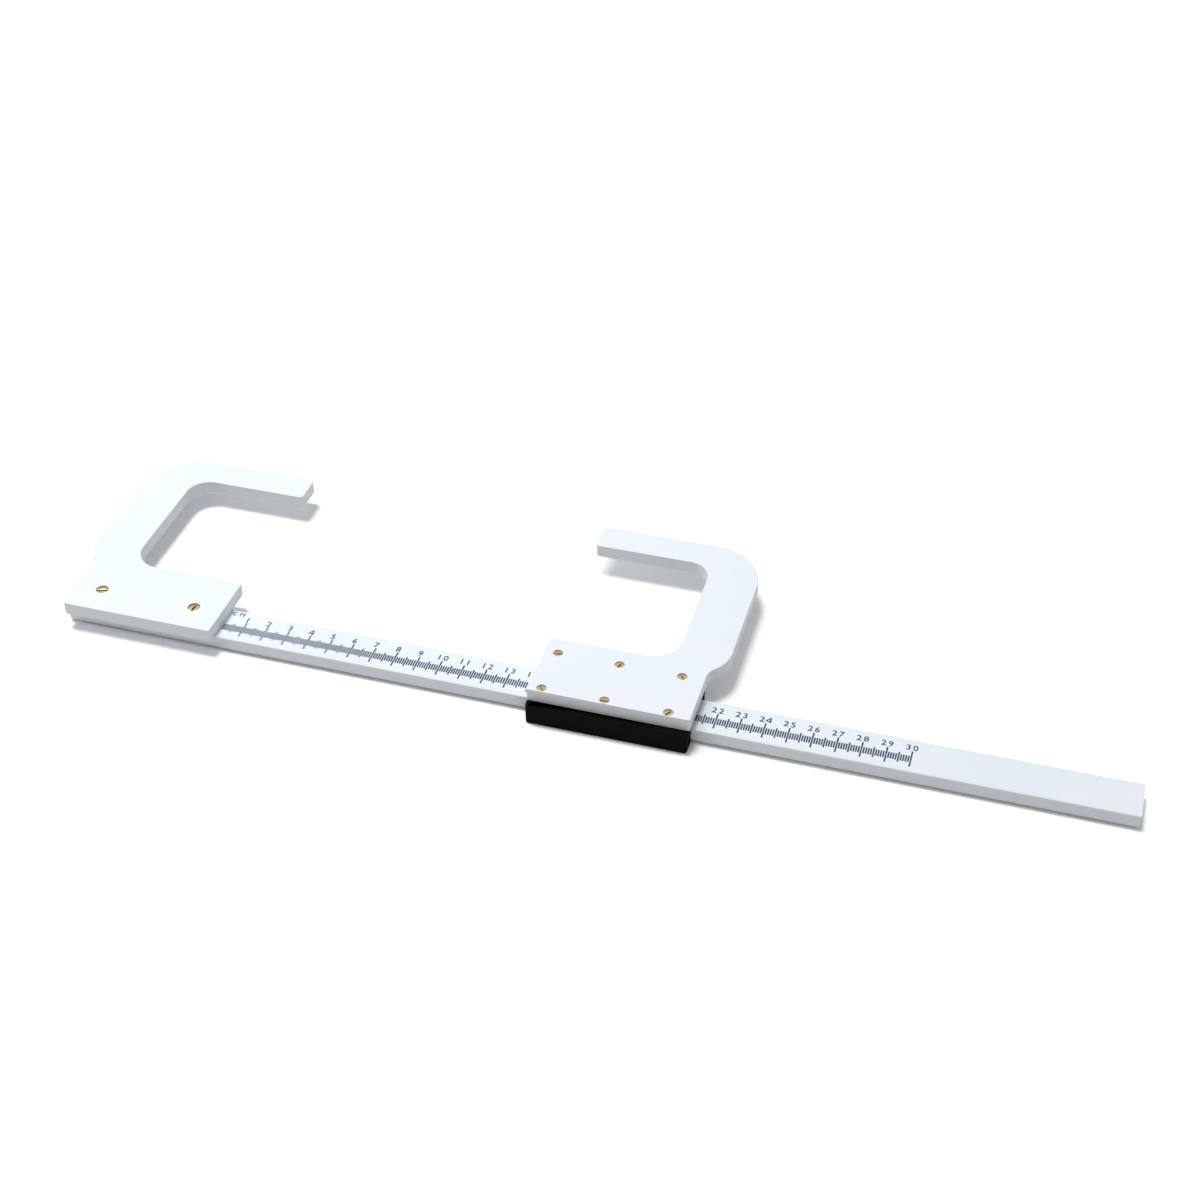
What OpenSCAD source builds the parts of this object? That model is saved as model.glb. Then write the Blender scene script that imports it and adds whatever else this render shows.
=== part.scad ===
// Small anthropometer: a flat plastic rail with a centimetre scale, a fixed jaw screwed to its
// left end and a sliding jaw on a guide that runs along it. Millimetres, +Z up.
// Origin: the scale's zero, on the centre line of the rail's underside.
// +X runs along the rail towards larger readings, +Y from the rail towards the jaws' tips.

/* [Rail] */
// Length of the rail from end to end
rail_len = 461; // [400:1:520]
// Width of the rail, front to back
rail_w = 19; // [16:0.5:24]
// Thickness of the rail
rail_t = 6; // [5:0.5:9]
// Chamfer along the rail's four long edges
rail_edge = 0.3; // [0.1:0.1:0.8]
// Corner radius of the rail's ends, seen from above
rail_end_r = 0.8; // [0.3:0.1:3]
// Distance by which the rail's left end stands out past the fixed jaw
tail_out = 1; // [0:0.5:6]

/* [Jaws] */
// Thickness of both jaws
jaw_t = 6; // [5:0.5:9]
// Length of a jaw's base plate along the rail
plate_len = 69.2; // [66:0.2:75]
// Reach of the base plate in front of the rail
front_lap = 3.8; // [3.6:0.1:6]
// Reach of the base plate behind the rail
rear_lap = 11.3; // [9:0.1:16]
// Corner radius of the base plate
plate_r = 0.8; // [0.3:0.1:2]
// Depth of the throat, from the base plate to the arm
throat_depth = 66.8; // [50:0.2:80]
// Width of the throat, from the tip to the post
throat_w = 54; // [48:0.5:60]
// Width of the arm that ends in the tip
arm_w = 14.6; // [10:0.2:20]
// Width of the post between the base plate and the arm
post_w = 22.2; // [18:0.2:30]
// Outer radius of the bend between post and arm
bend_r = 23.5; // [12:0.5:30]
// Inner radius of the bend between post and arm
throat_r = 10; // [4:0.5:14]
// Radius of the throat's corner at the base plate
root_r = 12.5; // [4:0.5:16]
// Corner radius of the tip
tip_r = 2; // [0.5:0.1:4]
// Radius of the hollow where the post's outer side leaves the base plate
hollow_r = 8; // [4:0.5:12]
// Radius of the swell that follows the hollow, up to the post
swell_r = 17; // [10:0.5:24]
// Distance behind the rail's centre line at which the hollow starts
hollow_at = 14.5; // [10:0.5:18]

/* [Fixed jaw screws] */
// Distance from the measuring edge to the first screw
fixed_screw_at = 13.2; // [8:0.1:20]
// Distance between the two screws
fixed_screw_pitch = 44; // [30:0.5:46]
// Diameter of the screws' heads
fixed_head_d = 5.2; // [4.5:0.1:7]
// Diameter of the screws' shanks
fixed_shank_d = 3; // [2:0.1:3.5]
// Depth to which the screws enter the rail
fixed_bite = 4.4; // [3:0.1:4.8]

/* [Slider] */
// Reading at which the sliding jaw stands
reading = 142.6; // [0.2:0.1:300]
// Height of the space between the rail and the sliding jaw, which holds strips and spring
strip_space = 2.2; // [1.6:0.1:4]
// Distance by which the front guide bar stands out past the jaw as a finger grip
grip_out = 3.6; // [2:0.1:8]
// Corner radius of the finger grip
grip_r = 1.4; // [0.5:0.1:3]
// Width of the guide bar behind the rail
rear_bar_w = 4.8; // [4.2:0.1:8]
// Distance from the jaw's ends in to the guide bars' ends
bar_inset = 0.2; // [0.1:0.1:2]
// Thickness of the keeper plate under the rail
keeper_t = 1; // [1:0.1:2]
// Width of the rebate under each guide bar that takes the keeper plate's edge
keeper_lip = 3.6; // [3.2:0.1:4]
// Width of the glide strips
strip_w = 1.8; // [1.2:0.1:2.4]
// Distance from the rail's long edges in to the glide strips
strip_margin = 0.6; // [0.4:0.1:1.2]
// Distance from the guide bars' ends in to the glide strips' ends
strip_inset = 3; // [1:0.5:8]
// Length of the drag spring
spring_len = 44; // [30:1:56]
// Width of the drag spring
spring_w = 9; // [6:0.5:11]
// Thickness of the drag spring
spring_t = 0.3; // [0.2:0.05:0.5]
// Depth of the pocket in the jaw's underside that holds the spring
pocket_depth = 0.6; // [0.3:0.1:1.5]

/* [Slider screws] */
// Distance from the jaw's left end to the first jaw screw
jaw_screw_at = 5.9; // [4:0.1:8]
// Distance between jaw screws along the rail
jaw_screw_pitch = 26.85; // [24:0.05:28]
// Distance from the jaw's front edge to the front row of jaw screws
front_row_inset = 2.4; // [2.2:0.1:2.5]
// Diameter of the jaw screws' heads
jaw_head_d = 4; // [3.4:0.1:4.2]
// Diameter of the jaw screws' shanks
jaw_shank_d = 1.9; // [1.5:0.1:2]
// Depth to which the jaw screws enter the guide bars
jaw_bite = 4.2; // [3:0.1:4.8]
// Diameter of the keeper screws' heads
keeper_head_d = 2.6; // [2.2:0.1:2.7]
// Diameter of the keeper screws' shanks
keeper_shank_d = 1.4; // [1.3:0.1:1.6]
// Depth to which the keeper screws enter the guide bars
keeper_bite = 2.6; // [2:0.1:3]

/* [Screw details] */
// Depth of a jaw's screw heads below its surface
head_sink = 0.5; // [0.1:0.1:1]
// Height of the straight rim of a screw head
head_rim = 0.25; // [0.1:0.05:0.35]
// Width of a screw's slot, as a share of its head's diameter
slot_share = 0.17; // [0.1:0.01:0.25]
// Length of the tapered end of a screw
point_len = 0.8; // [0.4:0.1:1.2]

/* [Clearances] */
// Side clearance between the rail and each guide bar
side_gap = 0.1; // [0.05:0.05:0.3]
// Clearance between the rail and the strips and spring above it
top_gap = 0.1; // [0.05:0.05:0.3]
// Clearance between the rail and the keeper plate below it
keeper_gap = 0.15; // [0.1:0.05:0.4]
// Clearance between the keeper plate's edges and the guide bars' rebates
rebate_gap = 0.1; // [0.05:0.05:0.3]
// Clearance round the drag spring in its pocket
pocket_gap = 0.3; // [0.1:0.1:1]
// Radial clearance of a screw in the piece that its head holds
hole_gap = 0.1; // [0.05:0.05:0.2]
// Radial clearance that stands for the thread in the piece that a screw bites
thread_gap = 0.02; // [0.01:0.01:0.05]

/* [Hidden] */
$fn = 64;

// Jaw outline: u runs from the measuring edge outwards, v from the rail's centre line to the tip
front = rail_w / 2 + front_lap;
rear = rail_w / 2 + rear_lap;
near = rear + throat_depth;
far = near + arm_w;
outer = throat_w + post_w;
// Rise of the S-shaped flank between the base plate's end and the post's outer side
flank_step = outer - plate_len;
flank_r = hollow_r + swell_r;
flank_rise = sqrt(flank_r * flank_r - (flank_r - flank_step) * (flank_r - flank_step));
hollow_c = [plate_len + hollow_r, hollow_at];
swell_c = [outer - swell_r, hollow_at + flank_rise];
flank_join = hollow_c + (swell_c - hollow_c) * hollow_r / flank_r;

// Places along the rail
rail_left = -plate_len - tail_out;
fixed_screws = [for (i = [0 : 1]) -fixed_screw_at - i * fixed_screw_pitch];
jaw_screws = [for (i = [0 : 2]) reading + jaw_screw_at + i * jaw_screw_pitch];
keeper_screws = [for (i = [0 : 1]) reading + jaw_screw_at + (i + 0.5) * jaw_screw_pitch];
bar_x = reading + bar_inset;
bar_len = plate_len - 2 * bar_inset;
spring_x = reading + plate_len / 2;

// Places across the rail
channel = rail_w / 2 + side_gap;
front_bar_w = front + grip_out - channel;
front_row = front_row_inset - front;
rear_row = channel + rear_bar_w / 2;
keeper_row = channel + keeper_lip / 2;
strip_y = rail_w / 2 - strip_margin - strip_w;

// Heights
fixed_z = rail_t;
jaw_z = rail_t + strip_space;
glide_z = rail_t + top_gap;
rebate_z = -keeper_gap;
bottom_z = rebate_z - keeper_t;

// The drag spring is a shallow arc: its ends press on the jaw and its middle on the rail
spring_half = spring_len / 2;
spring_sag = jaw_z + pocket_depth - glide_z - spring_t;
spring_r = (spring_half * spring_half + spring_sag * spring_sag) / (2 * spring_sag);

// A rectangle from one corner to the other
module box2(u0, v0, u1, v1) {
    translate([u0, v0]) square([u1 - u0, v1 - v0]);
}

// What lies between a square corner at c and an arc of radius r, on the side of c towards d:
// it fills an inside corner, and taken away it rounds an outside one
module corner2(c, d, r) {
    difference() {
        translate([min(c[0], c[0] + d[0] * r), min(c[1], c[1] + d[1] * r)]) square(r);
        translate(c + r * d) circle(r);
    }
}

// The flank that swings out from the base plate's end to the post, as a hollow and a swell
module flank2() {
    difference() {
        box2(throat_w, hollow_at, flank_join[0], flank_join[1]);
        translate(hollow_c) circle(hollow_r);
    }
    intersection() {
        box2(throat_w, flank_join[1], outer, swell_c[1]);
        translate(swell_c) circle(swell_r);
    }
    box2(throat_w, flank_join[1], max(throat_w, swell_c[0]) + 1, swell_c[1]);
}

// The whole outline of a jaw: base plate, post and arm
module jaw_outline2() {
    difference() {
        union() {
            box2(0, -front, plate_len, rear);
            flank2();
            box2(throat_w, swell_c[1], outer, far);
            box2(0, near, outer, far);
        }
        for (c = [[0, -front], [0, near]])
            corner2(c, [1, 1], c[1] < 0 ? plate_r : tip_r);
        for (c = [[0, rear], [0, far]])
            corner2(c, [1, -1], c[1] < near ? plate_r : tip_r);
        corner2([plate_len, -front], [-1, 1], plate_r);
        corner2([outer, far], [-1, -1], bend_r);
    }
    corner2([throat_w, rear], [-1, 1], root_r);
    corner2([throat_w, near], [-1, -1], throat_r);
}

// A slotted countersunk screw: its head's top is at the origin and it points down
module screw(head_d, shank_d, len, turn) {
    head_r = head_d / 2;
    shank_r = shank_d / 2;
    neck = head_rim + head_r - shank_r;
    slot_w = slot_share * head_d;
    difference() {
        rotate_extrude()
            polygon([[0, 0], [head_r, 0], [head_r, -head_rim], [shank_r, -neck],
                     [shank_r, point_len - len], [shank_r / 2, -len], [0, -len]]);
        rotate([0, 0, turn])
            translate([-head_d, -slot_w / 2, -slot_w]) cube([2 * head_d, slot_w, 2 * slot_w]);
    }
}

// The hole for a screw's head and shank, through a plate of thickness t whose top is at the origin
module screw_hole(head_d, shank_d, sink, t) {
    head_r = head_d / 2 + hole_gap;
    shank_r = shank_d / 2 + hole_gap;
    rim_z = -sink - head_rim;
    neck_z = rim_z - (head_r - shank_r);
    rotate_extrude()
        polygon([[0, 1], [head_r, 1], [head_r, rim_z], [shank_r, neck_z],
                 [shank_r, -t - 1], [0, -t - 1]]);
}

// The blind hole that a screw bites into, down from the origin
module bite_hole(shank_d, bite) {
    translate([0, 0, -bite - thread_gap]) cylinder(r = shank_d / 2 + thread_gap, h = bite + 1);
}

module rail() {
    half = rail_w / 2;
    e = rail_edge;
    color("white") difference() {
        intersection() {
            translate([rail_left, 0, 0]) rotate([90, 0, 90]) linear_extrude(rail_len)
                polygon([[e - half, 0], [half - e, 0], [half, e], [half, rail_t - e],
                         [half - e, rail_t], [e - half, rail_t], [-half, rail_t - e], [-half, e]]);
            translate([rail_left, 0, 0]) linear_extrude(rail_t) difference() {
                box2(0, -half, rail_len, half);
                corner2([0, -half], [1, 1], rail_end_r);
                corner2([0, half], [1, -1], rail_end_r);
                corner2([rail_len, -half], [-1, 1], rail_end_r);
                corner2([rail_len, half], [-1, -1], rail_end_r);
            }
        }
        for (x = fixed_screws)
            translate([x, 0, rail_t]) bite_hole(fixed_shank_d, fixed_bite);
    }
}

module fixed_jaw() {
    color("white") difference() {
        translate([0, 0, fixed_z]) mirror([1, 0, 0]) linear_extrude(jaw_t) jaw_outline2();
        for (x = fixed_screws)
            translate([x, 0, fixed_z + jaw_t])
                screw_hole(fixed_head_d, fixed_shank_d, head_sink, jaw_t);
    }
}

module fixed_jaw_screws() {
    for (i = [0 : 1])
        color("goldenrod") translate([fixed_screws[i], 0, fixed_z + jaw_t - head_sink])
            screw(fixed_head_d, fixed_shank_d, jaw_t - head_sink + fixed_bite, 20 + 65 * i);
}

module sliding_jaw() {
    pocket_len = spring_len + 2 * pocket_gap;
    pocket_w = spring_w + 2 * pocket_gap;
    color("white") difference() {
        translate([reading, 0, jaw_z]) linear_extrude(jaw_t) jaw_outline2();
        for (x = jaw_screws, y = [front_row, rear_row])
            translate([x, y, jaw_z + jaw_t])
                screw_hole(jaw_head_d, jaw_shank_d, head_sink, jaw_t);
        translate([spring_x - pocket_len / 2, -pocket_w / 2, jaw_z - 1])
            cube([pocket_len, pocket_w, pocket_depth + 1]);
    }
}

// A guide bar behind the rail, or mirrored in front of it, with a rebate for the keeper plate
module guide_bar(bar_w, corner_r, jaw_row) {
    outside = channel + bar_w;
    difference() {
        translate([bar_x, 0, bottom_z]) linear_extrude(jaw_z - bottom_z) difference() {
            box2(0, channel, bar_len, outside);
            corner2([0, outside], [1, -1], corner_r);
            corner2([bar_len, outside], [-1, -1], corner_r);
        }
        translate([bar_x - 1, channel - 1, bottom_z - 1])
            cube([bar_len + 2, keeper_lip + rebate_gap + 1, keeper_t + 1]);
        for (x = jaw_screws)
            translate([x, jaw_row, jaw_z]) bite_hole(jaw_shank_d, jaw_bite);
        for (x = keeper_screws)
            translate([x, keeper_row, rebate_z]) mirror([0, 0, 1])
                bite_hole(keeper_shank_d, keeper_bite);
    }
}

module front_guide_bar() {
    color("black") mirror([0, 1, 0]) guide_bar(front_bar_w, grip_r, -front_row);
}

module rear_guide_bar() {
    color("black") guide_bar(rear_bar_w, plate_r, rear_row);
}

module keeper_plate() {
    half = channel + keeper_lip;
    color("black") difference() {
        translate([bar_x, -half, bottom_z]) cube([bar_len, 2 * half, keeper_t]);
        for (x = keeper_screws, y = [-keeper_row, keeper_row])
            translate([x, y, bottom_z]) mirror([0, 0, 1])
                screw_hole(keeper_head_d, keeper_shank_d, 0, keeper_t);
    }
}

// A glide strip under the jaw, along the rail's rear edge or mirrored along its front edge
module glide_strip() {
    color("ivory") translate([bar_x + strip_inset, strip_y, glide_z])
        cube([bar_len - 2 * strip_inset, strip_w, jaw_z - glide_z]);
}

module front_glide_strip() {
    mirror([0, 1, 0]) glide_strip();
}

module rear_glide_strip() {
    glide_strip();
}

module drag_spring() {
    color("darkgoldenrod") translate([spring_x, spring_w / 2, glide_z + spring_t + spring_r])
        rotate([90, 0, 0]) linear_extrude(spring_w) intersection() {
            difference() {
                circle(spring_r + spring_t);
                circle(spring_r);
            }
            box2(-spring_half, -spring_r - spring_t - 1, spring_half, spring_sag - spring_r);
        }
}

// A row of jaw screws at one distance from the centre line
module jaw_screw_row(y, first_turn) {
    for (i = [0 : 2])
        color("goldenrod") translate([jaw_screws[i], y, jaw_z + jaw_t - head_sink])
            screw(jaw_head_d, jaw_shank_d, jaw_t - head_sink + jaw_bite, first_turn + 55 * i);
}

module front_jaw_screws() {
    jaw_screw_row(front_row, 130);
}

module rear_jaw_screws() {
    jaw_screw_row(rear_row, 15);
}

// A row of keeper screws, which come up from below
module keeper_screw_row(y) {
    for (i = [0 : 1])
        color("gray") translate([keeper_screws[i], y, bottom_z]) mirror([0, 0, 1])
            screw(keeper_head_d, keeper_shank_d, keeper_t + keeper_bite, 40 + 70 * i);
}

module front_keeper_screws() {
    keeper_screw_row(-keeper_row);
}

module rear_keeper_screws() {
    keeper_screw_row(keeper_row);
}

rail();
fixed_jaw();
fixed_jaw_screws();
sliding_jaw();
front_guide_bar();
rear_guide_bar();
keeper_plate();
front_glide_strip();
rear_glide_strip();
drag_spring();
front_jaw_screws();
rear_jaw_screws();
front_keeper_screws();
rear_keeper_screws();
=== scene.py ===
"""The looks of a small sliding anthropometer, made round its fixed frame.

Its sizes and colours are properties of the scene, each group of pieces has an operator, and a
panel in the 3D view's sidebar lists them. Lengths are in metres unless a name says otherwise.
"""

import math

import bmesh
import bpy
from bpy.props import FloatProperty, FloatVectorProperty, IntProperty, PointerProperty
from mathutils import Matrix, Vector


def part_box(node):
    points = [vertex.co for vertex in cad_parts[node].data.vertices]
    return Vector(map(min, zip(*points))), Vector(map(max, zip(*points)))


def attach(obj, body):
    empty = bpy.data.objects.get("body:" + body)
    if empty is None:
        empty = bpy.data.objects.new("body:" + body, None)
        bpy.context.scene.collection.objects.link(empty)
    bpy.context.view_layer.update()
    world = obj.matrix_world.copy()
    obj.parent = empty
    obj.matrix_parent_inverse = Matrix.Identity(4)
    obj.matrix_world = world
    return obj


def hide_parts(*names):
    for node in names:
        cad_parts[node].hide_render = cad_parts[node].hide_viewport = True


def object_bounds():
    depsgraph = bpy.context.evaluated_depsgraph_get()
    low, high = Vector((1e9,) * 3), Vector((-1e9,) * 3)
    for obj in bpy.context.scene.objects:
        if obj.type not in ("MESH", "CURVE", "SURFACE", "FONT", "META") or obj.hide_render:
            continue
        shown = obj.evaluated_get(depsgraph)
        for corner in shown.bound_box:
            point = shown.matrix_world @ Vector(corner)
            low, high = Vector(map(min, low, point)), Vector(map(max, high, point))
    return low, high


bl_info = {
    "name": "Sliding anthropometer",
    "version": (1, 0, 0),
    "blender": (4, 5, 0),
    "location": "View3D > Sidebar > Anthropometer",
    "description": "Dresses the frame of a small sliding anthropometer",
    "category": "Object",
}

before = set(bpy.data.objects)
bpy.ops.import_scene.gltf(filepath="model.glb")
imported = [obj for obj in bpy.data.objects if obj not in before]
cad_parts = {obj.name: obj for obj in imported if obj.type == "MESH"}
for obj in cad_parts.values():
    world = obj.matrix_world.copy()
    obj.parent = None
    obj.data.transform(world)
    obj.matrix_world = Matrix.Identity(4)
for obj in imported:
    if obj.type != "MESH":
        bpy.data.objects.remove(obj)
CAD_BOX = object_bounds()
MM = 0.001
WHITE = (1.0, 1.0, 1.0, 1.0)
FIXED_BODY = "frame"
SLIDING_BODY = "slider"
RAIL_LOW, RAIL_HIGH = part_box("rail")
CENTIMETRE = 10 * MM
CLIP_START = 10 * MM

# Neighbour faces that differ by less than the first angle are made one. Edges sharper than the
# next angles are rounded, and shading breaks at them.
FLAT_WITHIN = math.radians(0.4)
SHARP_EDGE = math.radians(38)
SCREW_SHARP_EDGE = math.radians(40)
SCREW_BROKEN_EDGE = math.radians(50)
EDGE_STEPS = 3
SCREW_EDGE_STEPS = 2
LATHE_STEPS = 48
RAIL_CUT_PITCH = 8 * MM
RIM_REACH = 0.2 * MM

# Points closer than this are one: in a node, in a glyph of one em, and in the print.
NODE_MERGE = 1e-6
GLYPH_MERGE = 1e-5
PRINT_MERGE = 1e-7

# The cosine that limits how far a glyph's sharp corners move when its strokes grow.
SHARPEST_CORNER = 0.55

# Marks of the scale from one half or whole centimetre to the next, and how near a number has to
# be to a whole one.
HALF_STEP = 5.0
WHOLE_STEP = 10.0
WHOLE_WITHIN = 0.1

# Features per metre of the finishes' patterns, along X, Y and Z or alike along all three.
WHITE_CLOUDS = 26
WHITE_GRAIN = 2600
WHITE_PITS = 900
RAIL_SAW_MARKS = (22, 5200, 5200)
JAW_CUTTER_MARKS = (2600, 2600, 60)
TRACK_HAIRS = (30, 9000, 30)
SCRATCH_LINES = (45, 4200, 45)
SCRATCH_BREAKS = 70
BLACK_PEBBLES = 1500
BLACK_PATCHES = 120
GLIDE_HAIRS = (40, 7000, 2000)
INK_THINNING = (1800, 1800, 300)
INK_PATCHES = 90
METAL_STAINS = 420
STEEL_MARKS = (60, 6000, 60)

# How deep the patterns are, and how far apart a turned head's rings are.
WHITE_RELIEF = 0.02 * MM
BLACK_RELIEF = 0.05 * MM
GLIDE_RELIEF = 0.01 * MM
STEEL_RELIEF = 0.005 * MM
RING_RELIEF = 0.002 * MM
RING_PITCH = 0.12 * MM
TRACK_BLUR = 0.5 * MM

# Where a head's film fades: down its slot, and out to its rim.
SLOT_FILM = (-0.5 * MM, -0.1 * MM)
RIM_FILM = (1.2 * MM, 2.4 * MM)

# The outlines of the digit 4 and of its hole, drawn here because its font outline can't be
# thickened. Their unit doesn't matter, as each glyph is made to its height.
FOUR_STROKES = [(36, 0), (49, 0), (49, 16), (60, 16), (60, 28), (49, 28), (49, 74), (36, 74)]
FOUR_CORNERS = [(0, 29), (0, 16), (36, 16)]
FOUR_HOLE = [(36, 28), (36, 54), (15, 28)]
DRAWN_GLYPHS = {"4": [FOUR_STROKES + FOUR_CORNERS, FOUR_HOLE]}


def length(name, description, millimetres):
    """A length property whose default is given in millimetres."""
    return FloatProperty(
        name=name,
        description=description,
        default=millimetres * MM,
        precision=5,
        subtype="DISTANCE",
        unit="LENGTH",
    )


def colour(name, description, rgb):
    """A colour property."""
    return FloatVectorProperty(
        name=name, description=description, default=rgb, size=3, min=0, max=1, subtype="COLOR"
    )


def degrees(name, description, angle):
    """An angle property whose default is given in degrees."""
    return FloatProperty(
        name=name, description=description, default=math.radians(angle), subtype="ANGLE"
    )


class EdgeSettings(bpy.types.PropertyGroup):
    """How far the pieces' edges are broken."""

    rail: length("Rail edges", "Rounding of the rail's edges", 0.1)
    jaw: length("Jaw edges", "Rounding of the jaws' outlines", 0.2)
    hole: length("Hole rims", "Rounding of the rims of the jaws' screw holes", 0.06)
    bar: length("Guide bar edges", "Rounding of the guide bars' edges", 0.3)
    keeper: length("Keeper edges", "Rounding of the keeper plate's edges", 0.08)


class ScaleSettings(bpy.types.PropertyGroup):
    """The scale that is printed on the rail, in places across it from its centre line."""

    centimetres: IntProperty(
        name="Centimetres", description="The last number of the scale", default=30, min=1
    )
    first_mark: IntProperty(
        name="First mark", description="The first millimetre that has a mark", default=1, min=0
    )
    mark_width: length("Mark width", "Width of one printed mark", 0.68)
    fine_low: length("Millimetre mark, near end", "Near end of the shortest marks", -4.1)
    fine_high: length("Millimetre mark, far end", "Far end of the shortest marks", -0.4)
    half_low: length("Half mark, near end", "Near end of the marks at half centimetres", -5.1)
    half_high: length("Half mark, far end", "Far end of the marks at half centimetres", 0.7)
    whole_low: length("Whole mark, near end", "Near end of the marks at centimetres", -6.5)
    whole_high: length("Whole mark, far end", "Far end of the marks at centimetres", 2.4)
    digit_height: length("Digit height", "Height of a printed digit", 3.2)
    digit_pitch: length("Digit pitch", "Distance between the two digits of a number", 2.9)
    digit_foot: length("Digit foot", "Where the digits' feet stand", 2.9)
    digit_shift: length("Digit shift", "How far the numbers stand beside their marks", -0.5)
    digit_weight: FloatProperty(
        name="Digit weight",
        description="Growth of the digits' strokes, in ems",
        default=0.018,
        precision=3,
        subtype="FACTOR",
    )
    unit_height: length("Unit height", "Height of the letters of the unit", 2.4)
    unit_pitch: length("Unit pitch", "Distance between the two letters of the unit", 3.5)
    unit_at: length("Unit place", "Where the unit's letters are centred along the rail", 4.0)
    unit_foot: length("Unit foot", "Where the unit's letters stand", 6.1)
    ink_height: length("Ink height", "How far the ink stands above the rail", 0.02)


class ScrewSettings(bpy.types.PropertyGroup):
    """The parts of a screw that the frame's boxes don't give."""

    fixed_shank: length("Fixed jaw screw shank", "Shank diameter of the fixed jaw's screws", 3)
    jaw_shank: length("Jaw screw shank", "Shank diameter of the sliding jaw's screws", 1.9)
    keeper_shank: length("Keeper screw shank", "Shank diameter of the keeper's screws", 1.4)
    rim: length("Head rim", "Height of the straight rim of a head", 0.25)
    point: length("Point", "Length of a screw's tapered end", 0.8)
    break_edge: length("Broken edge", "Rounding of a head's rim and slot", 0.06)
    slot_share: FloatProperty(
        name="Slot width",
        description="Slot width over head diameter",
        default=0.17,
        min=0.05,
        max=0.4,
        subtype="FACTOR",
    )


class FinishSettings(bpy.types.PropertyGroup):
    """The colours of the materials."""

    white: colour("White plastic", "Rail and jaws", (0.865, 0.915, 0.97))
    white_shade: colour("White plastic, greyer", "Clouds in the white plastic", (0.835, 0.89, 0.95))
    # This grey is partly the sawn finish of the cut walls and partly painted shade, since it makes
    # every wall darker than the tops.
    cut_face: colour("Cut face", "Sawn and milled faces of the white plastic", (0.83, 0.86, 0.87))
    scuffed: colour("Scuffs", "Pits and fine scratches in the white plastic", (0.66, 0.69, 0.73))
    black: colour("Black plastic", "Guide bars and keeper plate", (0.0022, 0.0022, 0.0025))
    black_rubbed: colour("Black plastic, rubbed", "Rubbed specks", (0.008, 0.008, 0.009))
    ink: colour("Ink", "Printed scale", (0.03, 0.04, 0.095))
    ink_worn: colour("Ink, worn", "Ink where it is thin", (0.19, 0.22, 0.35))
    brass: colour("Brass", "Jaw screws", (0.56, 0.43, 0.25))
    brass_dull: colour("Brass, dull", "Tarnish on the jaw screws", (0.16, 0.11, 0.06))
    steel: colour("Steel", "Keeper screws and drag spring", (0.6, 0.6, 0.62))
    steel_dull: colour("Steel, dull", "Film on the steel", (0.3, 0.3, 0.31))
    glide: colour("Glide plastic", "Glide strips", (0.78, 0.75, 0.66))


class StageSettings(bpy.types.PropertyGroup):
    """Camera, lamps and floor."""

    azimuth: degrees("Azimuth", "Turn of the camera about the object", 16.48)
    elevation: degrees("Elevation", "Height of the camera above the horizon", 38.98)
    roll: degrees("Roll", "Turn of the camera about its own line of sight", -0.2625)
    distance: length("Distance", "From the camera to what it looks at", 851.2)
    target_x: length("Target, along the rail", "What the camera looks at", 150.5)
    target_y: length("Target, across the rail", "What the camera looks at", 67.46)
    lens: FloatProperty(
        name="Lens", description="Focal length in millimetres", default=57.39, unit="CAMERA"
    )
    key_strength: FloatProperty(
        name="Key light", description="Strength of the far key light", default=1.42
    )
    key_angle: degrees("Key light angle", "How wide the key light looks from the object", 15)
    key_along: length("Key light, along the rail", "Its slant, for one metre up", -210)
    key_across: length("Key light, across the rail", "Its slant, for one metre up", 120)
    side_power: FloatProperty(
        name="Side lamp",
        description="Power in watts of the lamp over the fixed jaw",
        default=1.8,
        min=0,
        unit="POWER",
    )
    side_size: length("Side lamp size", "Side of the square side lamp", 250)
    side_along: length("Side lamp, along the rail", "Place of the side lamp", -250)
    side_across: length("Side lamp, across the rail", "Place of the side lamp", 150)
    side_up: length("Side lamp, up", "Place of the side lamp", 700)
    sky: FloatProperty(name="Sky", description="Strength of the even light", default=0.33)
    floor_tone: FloatProperty(
        name="Floor", description="Grey of the floor", default=0.78, min=0, max=1, subtype="FACTOR"
    )
    floor_lift: FloatProperty(
        name="Floor lift",
        description="Grey added to the floor that is seen",
        default=0.5,
        min=0,
        max=1,
        subtype="FACTOR",
    )
    floor_side: length("Floor side", "Side of the square floor", 12000)
    floor_gap: length("Floor gap", "How far the floor lies below the lowest piece", 0.02)


class Wire:
    """A socket of a shader that Python's arithmetic works on."""

    def __init__(self, shader, socket):
        self.shader = shader
        self.socket = socket

    def __add__(self, other):
        return self.shader.math("ADD", self, other)

    def __radd__(self, other):
        return self.shader.math("ADD", other, self)

    def __sub__(self, other):
        return self.shader.math("SUBTRACT", self, other)

    def __rsub__(self, other):
        return self.shader.math("SUBTRACT", other, self)

    def __mul__(self, other):
        return self.shader.math("MULTIPLY", self, other)

    def __rmul__(self, other):
        return self.shader.math("MULTIPLY", other, self)

    def __pow__(self, other):
        return self.shader.math("POWER", self, other)

    def __abs__(self):
        return self.shader.math("ABSOLUTE", self)


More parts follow.
